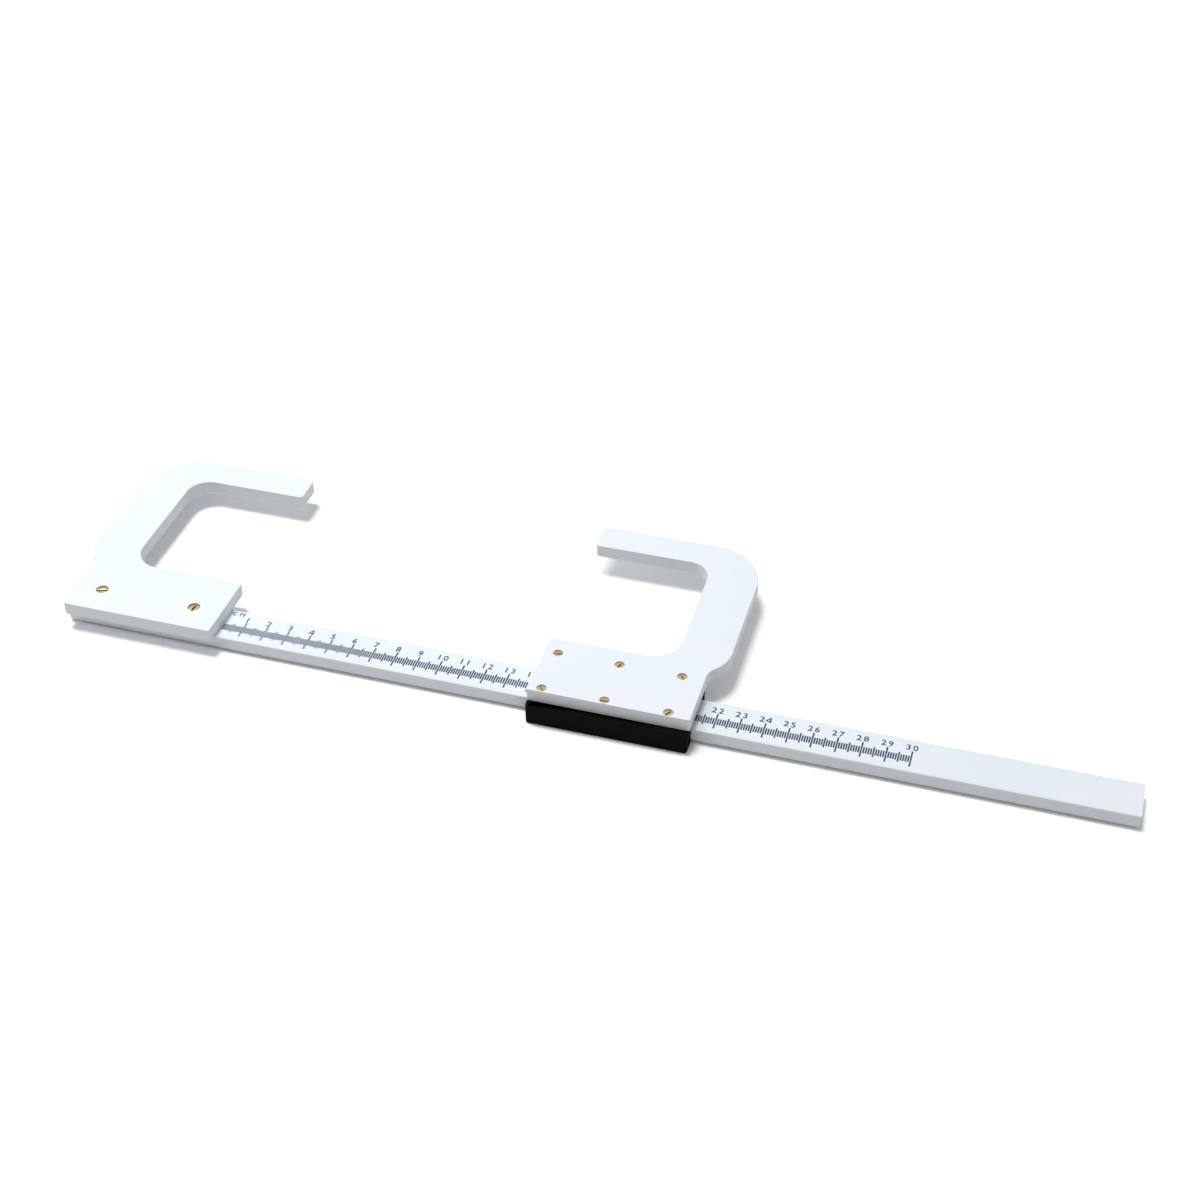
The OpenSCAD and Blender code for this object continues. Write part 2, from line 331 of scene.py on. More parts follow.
class Shader:
    """A node tree for a finish, or for the sky, with the few steps that these are made of."""

    def __init__(self, holder):
        self.holder = holder
        holder.use_nodes = True
        self.tree = holder.node_tree
        self.tree.nodes.clear()

    def node(self, kind, settings=None, sockets=None):
        """A node of that kind, with its settings made first and then its sockets filled."""
        made = self.tree.nodes.new(kind)
        for key, value in (settings or {}).items():
            setattr(made, key, value)
        for key, value in (sockets or {}).items():
            if isinstance(value, Wire):
                self.tree.links.new(value.socket, made.inputs[key])
            else:
                made.inputs[key].default_value = value
        return made

    def wire(self, node, output=0):
        return Wire(self, node.outputs[output])

    def math(self, operation, *values):
        sockets = dict(enumerate(values))
        return self.wire(self.node("ShaderNodeMath", {"operation": operation}, sockets))

    def place(self):
        """Where the surface is, in the object's own frame."""
        return self.wire(self.node("ShaderNodeTexCoord"), "Object")

    def facing(self):
        """Which way the surface faces, in the object's own frame."""
        return self.wire(self.node("ShaderNodeTexCoord"), "Normal")

    def attribute(self, name):
        return self.wire(self.node("ShaderNodeAttribute", {"attribute_name": name}), "Vector")

    def parts(self, vector):
        """The three numbers of a vector."""
        split = self.node("ShaderNodeSeparateXYZ", None, {0: vector})
        return [self.wire(split, i) for i in range(3)]

    def stretch(self, vector, factors):
        """The vector with each of its numbers multiplied."""
        scaled = self.node(
            "ShaderNodeVectorMath", {"operation": "MULTIPLY"}, {0: vector, 1: factors}
        )
        return self.wire(scaled)

    def turned(self, vector, angle):
        """The vector turned about Z by an angle in degrees."""
        settings = {"rotation_type": "Z_AXIS"}
        sockets = {"Vector": vector, "Angle": math.radians(angle)}
        return self.wire(self.node("ShaderNodeVectorRotate", settings, sockets))

    def scratches(self, vector, angle, amount):
        """Sparse fine scratches in that direction, from 0 to 1. A higher amount gives more."""
        lines = self.noise(self.turned(vector, angle), SCRATCH_LINES, 2.0, 0.6)
        broken = self.noise(vector, SCRATCH_BREAKS)
        return self.step(lines, 0.74 - amount, 0.8 - amount) * self.step(broken, 0.5, 0.62)

    def noise(self, vector, per_metre, detail=2.0, rough=0.5):
        """Noise from 0 to 1, with so many features per metre, alike all ways or along X, Y, Z."""
        factors = per_metre if isinstance(per_metre, tuple) else (per_metre,) * 3
        sockets = {
            "Vector": self.stretch(vector, factors),
            "Scale": 1.0,
            "Detail": detail,
            "Roughness": rough,
        }
        return self.wire(self.node("ShaderNodeTexNoise", None, sockets), 0)

    def step(self, value, low, high):
        """0 below low, 1 above high and smooth between them."""
        settings = {"interpolation_type": "SMOOTHSTEP", "clamp": True}
        sockets = {"Value": value, "From Min": low, "From Max": high}
        return self.wire(self.node("ShaderNodeMapRange", settings, sockets))

    def mix(self, factor, first, second):
        """A blend of two colours, each a wire or three numbers."""
        full = [c if isinstance(c, Wire) else (*c, 1.0) for c in (first, second)]
        sockets = {0: factor, 6: full[0], 7: full[1]}
        return self.wire(self.node("ShaderNodeMix", {"data_type": "RGBA"}, sockets), 2)

    def bump(self, height, depth):
        """A normal from a height between 0 and 1 that stands for that depth."""
        sockets = {"Height": height, "Distance": depth, "Strength": 1.0}
        return self.wire(self.node("ShaderNodeBump", None, sockets))

    def surface(self, sockets):
        """Ends the tree in one principled surface."""
        principled = self.node("ShaderNodeBsdfPrincipled", None, sockets)
        self.node("ShaderNodeOutputMaterial", None, {"Surface": self.wire(principled)})
        return self.holder

    def when_seen(self, lit, seen):
        """One shader that lights the object, and another for what the camera, a gloss or a clear
        piece shows of it."""
        path = self.node("ShaderNodeLightPath")
        camera, gloss, clear = (
            self.wire(path, "Is " + ray) for ray in ("Camera Ray", "Glossy Ray", "Transmission Ray")
        )
        watched = self.math("MAXIMUM", camera, self.math("MAXIMUM", gloss, clear))
        return self.wire(self.node("ShaderNodeMixShader", None, {0: watched, 1: lit, 2: seen}))


def white_plastic(name, finish, wall_marks, rubbed=None):
    """Cool white sheet plastic: finely grained faces, streaked cut walls painted greyer, partly for
    the sawn finish and partly as painted shade on the sides, and, if rubbed is the band across the
    rail where the slider runs, a faint polish there."""
    shader = Shader(bpy.data.materials.new(name))
    place = shader.place()
    upright = abs(shader.parts(shader.facing())[2])
    wall = 1 - shader.step(upright, 0.4, 0.8)
    clouds = shader.noise(place, WHITE_CLOUDS, 3.0)
    grain = shader.noise(place, WHITE_GRAIN)
    pits = shader.step(shader.noise(place, WHITE_PITS, 1.0), 0.72, 0.8)
    streaks = shader.noise(place, wall_marks, 3.0, 0.6)
    handling = shader.scratches(place, 24, 0.04) + shader.scratches(place, -67, 0.03)
    scuffs = shader.step(handling, 0.0, 1.0) * (1 - wall)
    face = shader.mix(shader.step(clouds, 0.35, 0.7), finish.white, finish.white_shade)
    face = shader.mix(pits * 0.3 + scuffs * 0.35, face, finish.scuffed)
    # The walls take the greyer cut-face colour by which way they face: partly their sawn finish,
    # partly painted shade on the sides.
    base = shader.mix(wall * (0.35 + 0.65 * streaks), face, finish.cut_face)
    rough = 0.44 + 0.1 * grain + 0.12 * wall
    relief = grain * 0.3 + wall * (streaks - 0.5) * 0.5 - pits * 0.2 - scuffs * 0.3
    if rubbed:
        low, high = rubbed
        across = abs(shader.parts(place)[1])
        inside = shader.step(across, low - TRACK_BLUR, low)
        outside = shader.step(across, high, high + TRACK_BLUR)
        track = inside * (1 - outside)
        hairs = shader.noise(place, TRACK_HAIRS, 2.0, 0.7)
        scuffed = track * (1 - wall)
        base = shader.mix(scuffed * shader.step(hairs, 0.5, 0.75) * 0.5, base, finish.cut_face)
        rough = rough - 0.12 * scuffed
    return shader.surface(
        {
            "Base Color": base,
            "Roughness": rough,
            "IOR": 1.5,
            "Specular IOR Level": 0.28,
            "Normal": shader.bump(relief, WHITE_RELIEF),
        }
    )


def black_plastic(finish):
    """Matt black plastic with a pebbled grain and a few rubbed specks."""
    shader = Shader(bpy.data.materials.new("black_plastic"))
    place = shader.place()
    pebbles = shader.noise(place, BLACK_PEBBLES)
    patches = shader.noise(place, BLACK_PATCHES, 3.0)
    rubbed = shader.step(pebbles, 0.6, 0.8) * shader.step(patches, 0.45, 0.65)
    return shader.surface(
        {
            "Base Color": shader.mix(rubbed, finish.black, finish.black_rubbed),
            "Roughness": 0.6 + 0.25 * pebbles,
            "Specular IOR Level": 0.05,
            "Normal": shader.bump(pebbles, BLACK_RELIEF),
        }
    )


def glide_plastic(finish):
    """Ivory plastic with fine scratches along the way it slides."""
    shader = Shader(bpy.data.materials.new("glide_plastic"))
    hairs = shader.noise(shader.place(), GLIDE_HAIRS, 3.0, 0.7)
    dull = tuple(0.8 * c for c in finish.glide)
    return shader.surface(
        {
            "Base Color": shader.mix(shader.step(hairs, 0.45, 0.8), finish.glide, dull),
            "Roughness": 0.3 + 0.2 * hairs,
            "Normal": shader.bump(hairs, GLIDE_RELIEF),
        }
    )


def scale_ink(finish):
    """Dark blue-grey ink that is thin in places."""
    shader = Shader(bpy.data.materials.new("scale_ink"))
    place = shader.place()
    thin = shader.noise(place, INK_THINNING, 3.0, 0.6)
    patches = shader.noise(place, INK_PATCHES)
    worn = shader.step(thin * 0.65 + patches * 0.35, 0.5, 0.72)
    return shader.surface(
        {
            "Base Color": shader.mix(worn, finish.ink, finish.ink_worn),
            "Roughness": 0.5 + 0.2 * thin,
            "Specular IOR Level": 0.3,
        }
    )


def turned_metal(name, bright, dull):
    """Turned metal: fine rings about a screw's own axis, and a film that gathers low down in its
    slot and towards its rim. The attribute spot is the place on one screw."""
    shader = Shader(bpy.data.materials.new(name))
    spot = shader.attribute("spot")
    across, along, up = shader.parts(spot)
    radius = (across * across + along * along) ** 0.5
    rings = shader.math("SINE", radius * (2 * math.pi / RING_PITCH)) * 0.5 + 0.5
    stain = shader.noise(shader.place(), METAL_STAINS, 3.0)
    low = 1 - shader.step(up, *SLOT_FILM)
    rim = shader.step(radius, *RIM_FILM)
    film = shader.step(stain, 0.5, 0.8) * 0.3 + low * 0.7 + rim * 0.25
    return shader.surface(
        {
            "Base Color": shader.mix(shader.step(film, 0.0, 1.0), bright, dull),
            "Metallic": 1.0,
            "Roughness": 0.26 + 0.25 * film,
            "Normal": shader.bump(rings, RING_RELIEF),
        }
    )


def rolled_steel(finish):
    """Spring strip with rolling marks along its length."""
    shader = Shader(bpy.data.materials.new("rolled_steel"))
    marks = shader.noise(shader.place(), STEEL_MARKS, 3.0, 0.6)
    return shader.surface(
        {
            "Base Color": shader.mix(marks, finish.steel, finish.steel_dull),
            "Metallic": 1.0,
            "Roughness": 0.28 + 0.2 * marks,
            "Normal": shader.bump(marks, STEEL_RELIEF),
        }
    )


def link(name, mesh):
    """A new object of that mesh, in the scene."""
    made = bpy.data.objects.new(name, mesh)
    bpy.context.scene.collection.objects.link(made)
    return made


def plain(source, name):
    """The object with its modifiers worked out, as a plain mesh under that name."""
    graph = bpy.context.evaluated_depsgraph_get()
    graph.update()
    mesh = bpy.data.meshes.new_from_object(source.evaluated_get(graph), depsgraph=graph)
    bpy.data.objects.remove(source)
    mesh.name = name
    return link(name, mesh)


def shade(mesh, sharp_from):
    """Smooth shading that breaks at edges sharper than that angle."""
    mesh.shade_smooth()
    mesh.set_sharp_from_angle(angle=sharp_from)


def merged(node):
    """A node's mesh as one closed bmesh, with its flat faces whole."""
    work = bmesh.new()
    work.from_mesh(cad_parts[node].data)
    bmesh.ops.remove_doubles(work, verts=work.verts, dist=NODE_MERGE)
    bmesh.ops.dissolve_limit(work, angle_limit=FLAT_WITHIN, verts=work.verts, edges=work.edges)
    return work


def islands(node):
    """The lowest and highest corners of each solid in a node, from left to right."""
    work = merged(node)
    left = set(work.verts)
    boxes = []
    while left:
        group = {left.pop()}
        border = list(group)
        while border:
            near = {e.other_vert(v) for v in border for e in v.link_edges} - group
            group |= near
            border = list(near)
        left -= group
        corners = [[f(v.co[i] for v in group) for i in range(3)] for f in (min, max)]
        boxes.append([Vector(c) for c in corners])
    work.free()
    return sorted(boxes, key=lambda box: box[0].x)


def soft_copy(node, name, edge, rim=None, holes=(), cuts=()):
    """A node's mesh with its sharp edges rounded by edge, or by rim near the holes, each of them
    (x, y, reach). The cuts are places along X where long faces are divided, because slivers
    shade badly."""
    work = merged(node)
    for x in cuts:
        everything = work.verts[:] + work.edges[:] + work.faces[:]
        bmesh.ops.bisect_plane(work, geom=everything, plane_co=(x, 0, 0), plane_no=(1, 0, 0))
    weight = work.edges.layers.float.new("bevel_weight_edge")
    for e in work.edges:
        if len(e.link_faces) != 2 or e.calc_face_angle() < SHARP_EDGE:
            continue
        middle = (e.verts[0].co + e.verts[1].co) / 2
        near = any((middle - h).xy.length < h.z for h in holes)
        e[weight] = rim / edge if near else 1.0
    mesh = bpy.data.meshes.new(name + "_rough")
    work.to_mesh(mesh)
    work.free()
    shade(mesh, SHARP_EDGE)
    rough = link(name + "_rough", mesh)
    bevel = rough.modifiers.new("Edges", "BEVEL")
    bevel.width = edge
    bevel.segments = EDGE_STEPS
    bevel.limit_method = "WEIGHT"
    bevel.use_clamp_overlap = False
    bevel.harden_normals = True
    soft = plain(rough, name)

    # The rounding can overshoot at short edges, so every point is kept in the node's own box.
    low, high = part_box(node)
    for v in soft.data.vertices:
        v.co = [min(max(c, a), b) for c, a, b in zip(v.co, low, high)]
    return soft


def dress(piece, material, body, replaced=()):
    """Gives a piece its material, its body and the nodes that it stands for."""
    piece.data.materials.clear()
    piece.data.materials.append(material)
    for polygon in piece.data.polygons:
        polygon.material_index = 0
    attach(piece, body)
    if replaced:
        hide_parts(*replaced)


def paint_node(node, material):
    """Gives a node of the frame a material and leaves its shape."""
    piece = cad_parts[node]
    piece.data.materials.clear()
    piece.data.materials.append(material)


class NodeTree:
    """A geometry node tree with named inputs, which ends in plain, painted geometry."""

    def __init__(self, name, inputs):
        self.tree = bpy.data.node_groups.new(name, "GeometryNodeTree")
        self.tree.is_modifier = True
        face = self.tree.interface
        face.new_socket("Geometry", in_out="INPUT", socket_type="NodeSocketGeometry")
        face.new_socket("Geometry", in_out="OUTPUT", socket_type="NodeSocketGeometry")
        self.names = {}
        for label, kind in {**inputs, "Material": "NodeSocketMaterial"}.items():
            made = face.new_socket(label, in_out="INPUT", socket_type=kind)
            self.names[label] = made.identifier
        self.start = self.tree.nodes.new("NodeGroupInput")

    def given(self, label):
        """The socket of a named input."""
        return self.start.outputs[label]

    def node(self, kind, settings=None, sockets=None):
        """A node of that kind, with its settings made first and then its sockets filled."""
        made = self.tree.nodes.new(kind)
        for key, value in (settings or {}).items():
            setattr(made, key, value)
        for key, value in (sockets or {}).items():
            if isinstance(value, bpy.types.NodeSocket):
                self.tree.links.new(value, made.inputs[key])
            else:
                made.inputs[key].default_value = value
        return made

    def math(self, operation, *values):
        settings = {"operation": operation}
        return self.node("ShaderNodeMath", settings, dict(enumerate(values))).outputs[0]

    def choose(self, test, if_false, if_true):
        sockets = {"Switch": test, "False": if_false, "True": if_true}
        return self.node("GeometryNodeSwitch", {"input_type": "FLOAT"}, sockets).outputs[0]

    def vector(self, x, y, z):
        return self.node("ShaderNodeCombineXYZ", None, {0: x, 1: y, 2: z}).outputs[0]

    def end(self, geometry):
        """Makes the instances real, paints them and ends the tree."""
        real = self.node("GeometryNodeRealizeInstances", None, {0: geometry}).outputs[0]
        sockets = {"Geometry": real, "Material": self.given("Material")}
        painted = self.node("GeometryNodeSetMaterial", None, sockets).outputs[0]
        self.node("NodeGroupOutput", None, {0: painted})
        return self

    def use(self, source, name, values):
        """Runs the tree on an object with those inputs, and returns the plain result."""
        modifier = source.modifiers.new(self.tree.name, "NODES")
        modifier.node_group = self.tree
        for label, value in values.items():
            modifier[self.names[label]] = value
        return plain(source, name)


def marks_tree():
    """Marks in a row along X, longer at every fifth and longest at every tenth."""
    lengths = ["Pitch", "Width", "Thickness", "Height"]
    ends = ["Fine low", "Fine high", "Half low", "Half high", "Whole low", "Whole high"]
    inputs = {label: "NodeSocketFloat" for label in lengths + ends}
    whole_numbers = {"First": "NodeSocketInt", "Count": "NodeSocketInt"}
    made = NodeTree("Scale marks", {**whole_numbers, **inputs})
    given = made.given
    start = made.vector(made.math("MULTIPLY", given("First"), given("Pitch")), 0.0, given("Height"))
    offset = made.vector(given("Pitch"), 0.0, 0.0)
    sockets = {"Count": given("Count"), "Start Location": start, "Offset": offset}
    row = made.node("GeometryNodeMeshLine", None, sockets).outputs[0]
    index = made.math("ADD", made.node("GeometryNodeInputIndex").outputs[0], given("First"))
    half, whole = (
        made.math("COMPARE", made.math("MODULO", index, step), 0.0, WHOLE_WITHIN)
        for step in (HALF_STEP, WHOLE_STEP)
    )
    low, high = (
        made.choose(
            whole,
            made.choose(half, given("Fine " + side), given("Half " + side)),
            given("Whole " + side),
        )
        for side in ("low", "high")
    )
    middle = made.math("MULTIPLY", made.math("ADD", low, high), 0.5)
    reach = made.math("SUBTRACT", high, low)
    offset = made.vector(0.0, middle, 0.0)
    placed = made.node("GeometryNodeSetPosition", None, {"Geometry": row, "Offset": offset})
    block = made.node("GeometryNodeMeshCube", None, {"Size": (1.0, 1.0, 1.0)})
    sockets = {
        "Points": placed.outputs[0],
        "Instance": block.outputs[0],
        "Scale": made.vector(given("Width"), reach, given("Thickness")),
    }
    return made.end(made.node("GeometryNodeInstanceOnPoints", None, sockets).outputs[0])


def screws_tree():
    """One screw at each point, turned by the point's attribute turn, and tipped by Tip. Its own
    coordinates are kept as the attribute spot."""
    made = NodeTree("Screws", {"Screw": "NodeSocketObject", "Tip": "NodeSocketFloat"})
    screw = made.node("GeometryNodeObjectInfo", None, {"Object": made.given("Screw")})
    own_place = made.node("GeometryNodeInputPosition").outputs[0]
    sockets = {"Geometry": screw.outputs["Geometry"], "Name": "spot", "Value": own_place}
    settings = {"data_type": "FLOAT_VECTOR", "domain": "POINT"}
    marked = made.node("GeometryNodeStoreNamedAttribute", settings, sockets).outputs[0]
    turn = made.node("GeometryNodeInputNamedAttribute", {"data_type": "FLOAT"}, {"Name": "turn"})
    sockets = {
        "Points": made.given("Geometry"),
        "Instance": marked,
        "Rotation": made.vector(made.given("Tip"), 0.0, turn.outputs[0]),
    }
    return made.end(made.node("GeometryNodeInstanceOnPoints", None, sockets).outputs[0])


def lathe(name, profile):
    """A closed solid from a profile of (radius, height) that starts and ends on the axis."""
    work = bmesh.new()
    rings = []
    for radius, height in profile:
        if radius == 0:
            rings.append([work.verts.new((0, 0, height))])
            continue
        turns = [2 * math.pi * i / LATHE_STEPS for i in range(LATHE_STEPS)]
        ring = [(radius * math.cos(t), radius * math.sin(t), height) for t in turns]
        rings.append([work.verts.new(p) for p in ring])
    for upper, lower in zip(rings, rings[1:]):
        for i in range(LATHE_STEPS):
            j = (i + 1) % LATHE_STEPS
            corners = [upper[i % len(upper)], lower[i % len(lower)]]
            corners += [lower[j % len(lower)], upper[j % len(upper)]]
            work.faces.new(list(dict.fromkeys(corners)))
    bmesh.ops.recalc_face_normals(work, faces=work.faces)
    mesh = bpy.data.meshes.new(name)
    work.to_mesh(mesh)
    work.free()
    return link(name, mesh)


def slotted_screw(name, head, shank, long, screws):
    """A slotted countersunk screw that hangs down from the centre of its head's top."""
    head_r = head / 2
    shank_r = shank / 2
    neck = -screws.rim - (head_r - shank_r)
    profile = [
        (0, 0),
        (head_r, 0),
        (head_r, -screws.rim),
        (shank_r, neck),
        (shank_r, screws.point - long),
        (shank_r / 2, -long),
        (0, -long),
    ]
    screw = lathe(name + "_turned", profile)
    slot = screws.slot_share * head
    bpy.ops.mesh.primitive_cube_add(size=1)
    cutter = bpy.context.object
    cutter.data.transform(Matrix.Diagonal((2 * head, slot, 2 * slot, 1)))
    cut = screw.modifiers.new("Slot", "BOOLEAN")
    cut.operation = "DIFFERENCE"
    cut.solver = "EXACT"
    cut.object = cutter
    broken = screw.modifiers.new("Edges", "BEVEL")
    broken.width = screws.break_edge
    broken.segments = SCREW_EDGE_STEPS
    broken.limit_method = "ANGLE"
    broken.angle_limit = SCREW_BROKEN_EDGE
    made = plain(screw, name)
    bpy.data.objects.remove(cutter)
    shade(made.data, SCREW_SHARP_EDGE)
    return made


def thicken(work, amount):
    """Moves the outline of flat faces outwards by that amount, and by less at its sharpest
    corners."""
    shifts = {}
    for loop in (loop for face in work.faces for loop in face.loops):
        if not loop.edge.is_boundary:
            continue
        start, end = loop.vert, loop.link_loop_next.vert
        along = (end.co - start.co).normalized()
        for v in (start, end):
            shifts.setdefault(v, []).append(Vector((along.y, -along.x, 0)))
    for v, (first, second) in shifts.items():
        middle = (first + second).normalized()
        v.co += middle * amount / max(middle.dot(first), SHARPEST_CORNER)


def drawn_outline(rings):
    """A flat curve that is filled between its closed outlines."""
    curve = bpy.data.curves.new("glyph", "CURVE")
    curve.dimensions = "2D"
    curve.fill_mode = "BOTH"
    for ring in rings:
        line = curve.splines.new("POLY")
        line.points.add(len(ring) - 1)
        for point, (x, y) in zip(line.points, ring):
            point.co = (x, y, 0, 1)
        line.use_cyclic_u = True
    return curve


def glyph(text, height, weight):
    """A character as flat faces of that height, centred on X, with its foot at 0."""
    if text in DRAWN_GLYPHS:
        curve = drawn_outline(DRAWN_GLYPHS[text])
        weight = 0
    else:
        curve = bpy.data.curves.new("glyph", "FONT")
        curve.body = text
    made = plain(link("glyph", curve), "glyph")
    mesh = made.data
    bpy.data.objects.remove(made)
    work = bmesh.new()
    work.from_mesh(mesh)
    bmesh.ops.remove_doubles(work, verts=work.verts, dist=GLYPH_MERGE)
    thicken(work, weight)
    xs = [v.co.x for v in work.verts]
    ys = [v.co.y for v in work.verts]
    for v in work.verts:
        v.co -= Vector(((max(xs) + min(xs)) / 2, min(ys), 0))
        v.co *= height / (max(ys) - min(ys))
    work.to_mesh(mesh)
    work.free()
    return mesh


def printed_words(name, words, low, high):
    """One mesh of raised ink from a list of (glyph, place), between two heights."""
    work = bmesh.new()
    for mesh, at in words:
        first = len(work.verts)
        work.from_mesh(mesh)
        work.verts.ensure_lookup_table()
        for v in work.verts[first:]:
            v.co = Vector((v.co.x + at.x, v.co.y + at.y, high))
    bmesh.ops.remove_doubles(work, verts=work.verts, dist=PRINT_MERGE)
    bmesh.ops.recalc_face_normals(work, faces=work.faces)
    raised = bmesh.ops.extrude_face_region(work, geom=work.faces[:])["geom"]
    for v in raised:
        if isinstance(v, bmesh.types.BMVert):
            v.co.z = low
    bmesh.ops.recalc_face_normals(work, faces=work.faces)
    mesh = bpy.data.meshes.new(name)
    work.to_mesh(mesh)
    work.free()
    return link(name, mesh)


class RailOperator(bpy.types.Operator):
    """Makes the white rail with its broken edges and rubbed tracks"""

    bl_idname = "anthropometer.rail"
    bl_label = "Rail"

    def execute(self, context):
        strip_low, strip_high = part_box("rear_glide_strip")
        finish = context.scene.anthropometer_finish
        track = (strip_low.y, strip_high.y)
        material = white_plastic("rail_plastic", finish, RAIL_SAW_MARKS, track)
        steps = int((RAIL_HIGH.x - RAIL_LOW.x) / RAIL_CUT_PITCH)
        cuts = [RAIL_LOW.x + RAIL_CUT_PITCH * (i + 0.5) for i in range(steps)]
        edges = context.scene.anthropometer_edges
        rail = soft_copy("rail", "white_rail", edges.rail, cuts=cuts)
        dress(rail, material, FIXED_BODY, ["rail"])
        return {"FINISHED"}


class JawsOperator(bpy.types.Operator):
    """Makes the two white jaws with their broken edges and milled walls"""

    bl_idname = "anthropometer.jaws"
    bl_label = "Jaws"

    def execute(self, context):
        edges = context.scene.anthropometer_edges
        finish = context.scene.anthropometer_finish
        material = white_plastic("jaw_plastic", finish, JAW_CUTTER_MARKS)
        jaws = {
            "fixed_jaw": (FIXED_BODY, ["fixed_jaw_screws"]),
            "sliding_jaw": (SLIDING_BODY, ["front_jaw_screws", "rear_jaw_screws"]),
        }
        for node, (body, rows) in jaws.items():
            holes = []
            for low, high in (box for row in rows for box in islands(row)):
                reach = (high.x - low.x) / 2 + RIM_REACH
                holes.append(Vector(((low.x + high.x) / 2, (low.y + high.y) / 2, reach)))
            jaw = soft_copy(node, "white_" + node, edges.jaw, edges.hole, holes)
            dress(jaw, material, body, [node])
        return {"FINISHED"}


class GuideOperator(bpy.types.Operator):
    """Makes the slider's guide bars and keeper plate, and paints its strips and spring"""

    bl_idname = "anthropometer.guide"
    bl_label = "Guide"

    def execute(self, context):
        edges = context.scene.anthropometer_edges
        finish = context.scene.anthropometer_finish
        black = black_plastic(finish)
        pieces = {
            "front_guide_bar": edges.bar,
            "rear_guide_bar": edges.bar,
            "keeper_plate": edges.keeper,
        }
        for node, edge in pieces.items():
            piece = soft_copy(node, "black_" + node, edge)
            dress(piece, black, SLIDING_BODY, [node])
        strips = glide_plastic(finish)
        for node in ("front_glide_strip", "rear_glide_strip"):
            paint_node(node, strips)
        paint_node("drag_spring", rolled_steel(finish))
        return {"FINISHED"}


class ScrewsOperator(bpy.types.Operator):
    """Makes every row of slotted screws"""

    bl_idname = "anthropometer.screws"
    bl_label = "Screws"

    def execute(self, context):
        finish = context.scene.anthropometer_finish
        screws = context.scene.anthropometer_screws
        brass = turned_metal("turned_brass", finish.brass, finish.brass_dull)
        steel = turned_metal("turned_steel", finish.steel, finish.steel_dull)
        tree = screws_tree()
        # The last two numbers turn the first slot and, from it, each next one, in degrees.
        rows = [
            ("fixed_jaw_screws", FIXED_BODY, screws.fixed_shank, 20, 65),
            ("front_jaw_screws", SLIDING_BODY, screws.jaw_shank, 130, 55),
            ("rear_jaw_screws", SLIDING_BODY, screws.jaw_shank, 15, 55),
            ("front_keeper_screws", SLIDING_BODY, screws.keeper_shank, 40, 70),
            ("rear_keeper_screws", SLIDING_BODY, screws.keeper_shank, 40, 70),
        ]
        for node, body, shank, first_turn, next_turn in rows:
            from_below = "keeper" in node
            boxes = islands(node)
            low, high = boxes[0]
            screw = slotted_screw("screw", high.x - low.x, shank, high.z - low.z, screws)
            carrier = bpy.data.meshes.new(node + "_places")
            top = low.z if from_below else high.z
            places = [((a.x + b.x) / 2, (a.y + b.y) / 2, top) for a, b in boxes]
            carrier.from_pydata(places, [], [])
            turns = carrier.attributes.new("turn", "FLOAT", "POINT")
            for i, item in enumerate(turns.data):
                item.value = math.radians(first_turn + next_turn * i)
            values = {
                "Screw": screw,
                "Tip": math.pi if from_below else 0.0,
                "Material": steel if from_below else brass,
            }
            piece = tree.use(link(node + "_places", carrier), "slotted_" + node, values)
            bpy.data.objects.remove(screw)
            dress(piece, steel if from_below else brass, body, [node])
        return {"FINISHED"}


class ScaleOperator(bpy.types.Operator):
    """Prints the scale's marks, its numbers and its unit on the rail"""

    bl_idname = "anthropometer.scale"
    bl_label = "Scale"

    def execute(self, context):
        scale = context.scene.anthropometer_scale
        ink = scale_ink(context.scene.anthropometer_finish)
        top = RAIL_HIGH.z + scale.ink_height
        foot = RAIL_HIGH.z - scale.ink_height / 2
        marks = bpy.data.meshes.new("scale_start")
        values = {
            "First": scale.first_mark,
            "Count": scale.centimetres * int(WHOLE_STEP) + 1 - scale.first_mark,
            "Pitch": MM,
            "Width": scale.mark_width,
            "Thickness": top - foot,
            "Height": (top + foot) / 2,
            "Fine low": scale.fine_low,
            "Fine high": scale.fine_high,
            "Half low": scale.half_low,
            "Half high": scale.half_high,
            "Whole low": scale.whole_low,
            "Whole high": scale.whole_high,
            "Material": ink,
        }
        piece = marks_tree().use(link("scale_start", marks), "scale_marks", values)
        dress(piece, ink, FIXED_BODY)

        digits = {str(i): glyph(str(i), scale.digit_height, scale.digit_weight) for i in range(10)}
        words = []
        for centimetre in range(1, scale.centimetres + 1):
            text = str(centimetre)
            for i, character in enumerate(text):
                shift = (i - (len(text) - 1) / 2) * scale.digit_pitch + scale.digit_shift
                at = Vector((centimetre * CENTIMETRE + shift, scale.digit_foot))
                words.append((digits[character], at))
        for i, character in enumerate("CM"):
            at = Vector((scale.unit_at + (i - 0.5) * scale.unit_pitch, scale.unit_foot))
            words.append((glyph(character, scale.unit_height, scale.digit_weight), at))
        numbers = printed_words("scale_numbers", words, foot, top)
        dress(numbers, ink, FIXED_BODY)
        return {"FINISHED"}


